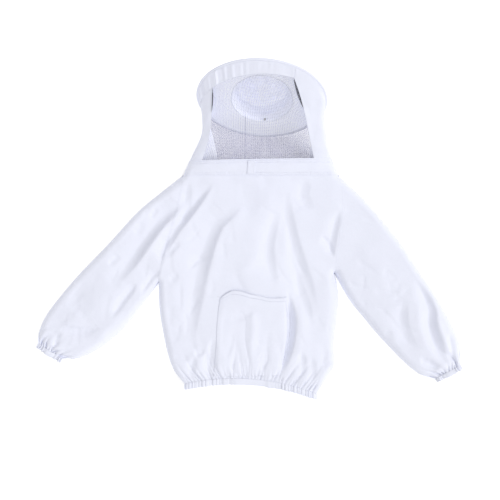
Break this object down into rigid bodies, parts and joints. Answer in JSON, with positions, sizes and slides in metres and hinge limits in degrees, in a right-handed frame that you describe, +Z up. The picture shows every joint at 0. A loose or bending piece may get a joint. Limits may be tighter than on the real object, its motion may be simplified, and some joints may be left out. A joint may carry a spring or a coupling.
{
  "type": "beekeeping smock with sewn-on hat and veil",
  "caption": "Pullover beekeeper's smock with an attached brimmed hat, net face veil, front pocket and elasticated hem and cuffs, laid flat on its back.",
  "frame": {"origin": "under the middle of the chest, on the surface that the back panel lies on", "axes": "+Z up from that surface, +Y towards the hat, +X towards the wearer's left sleeve"},
  "size_m": [1.3639, 1.058, 0.2927],
  "materials": {
    "white_cloth": "thin white plain-woven cotton and polyester, soft and slightly crumpled",
    "thread": "white sewing thread, tightly stitched",
    "elastic": "flat white braided elastic",
    "dark_net": "fine dark grey net that can be seen through",
    "hoop_plastic": "smooth white plastic wire"
  },
  "bodies": {
    "jacket": {"front_panel": "white_cloth", "back_panel": "white_cloth", "front_pocket": "white_cloth", "pocket_bartack_right": "thread", "pocket_bartack_left": "thread", "neck_band_front": "white_cloth", "neck_band_back": "white_cloth", "neck_band_overlap": "white_cloth", "hem_casing": "white_cloth", "waist_elastic": "elastic"},
    "hood": {"veil_net": "dark_net", "veil_side_right": "white_cloth", "veil_side_left": "white_cloth", "veil_top_band": "white_cloth", "veil_back": "dark_net", "brim_under": "white_cloth", "brim_upper": "white_cloth", "brim_hoop": "hoop_plastic", "brim_piping": "white_cloth", "crown_side": "white_cloth", "crown_top": "white_cloth", "sweatband": "white_cloth", "sweatband_knot": "elastic"},
    "right_arm": {"right_sleeve": "white_cloth", "right_cuff_casing": "white_cloth", "right_cuff_elastic": "elastic"},
    "left_arm": {"left_sleeve": "white_cloth", "left_cuff_casing": "white_cloth", "left_cuff_elastic": "elastic"}
  },
  "joints": [
    {"name": "hood_fold", "type": "hinge", "parent": "jacket", "child": "hood", "pos_m": [0.034, 0.2933, 0.041], "axis": [1, 0, 0], "range_deg": [0, 120]},
    {"name": "right_sleeve_swing", "type": "hinge", "parent": "jacket", "child": "right_arm", "pos_m": [-0.253, 0.063, 0.018], "axis": [0, 0, -1], "range_deg": [-20, 35], "deforming": ["right_sleeve"]},
    {"name": "left_sleeve_swing", "type": "hinge", "parent": "jacket", "child": "left_arm", "pos_m": [0.285, 0.063, 0.018], "axis": [0, 0, 1], "range_deg": [-20, 35], "deforming": ["left_sleeve"]}
  ]
}
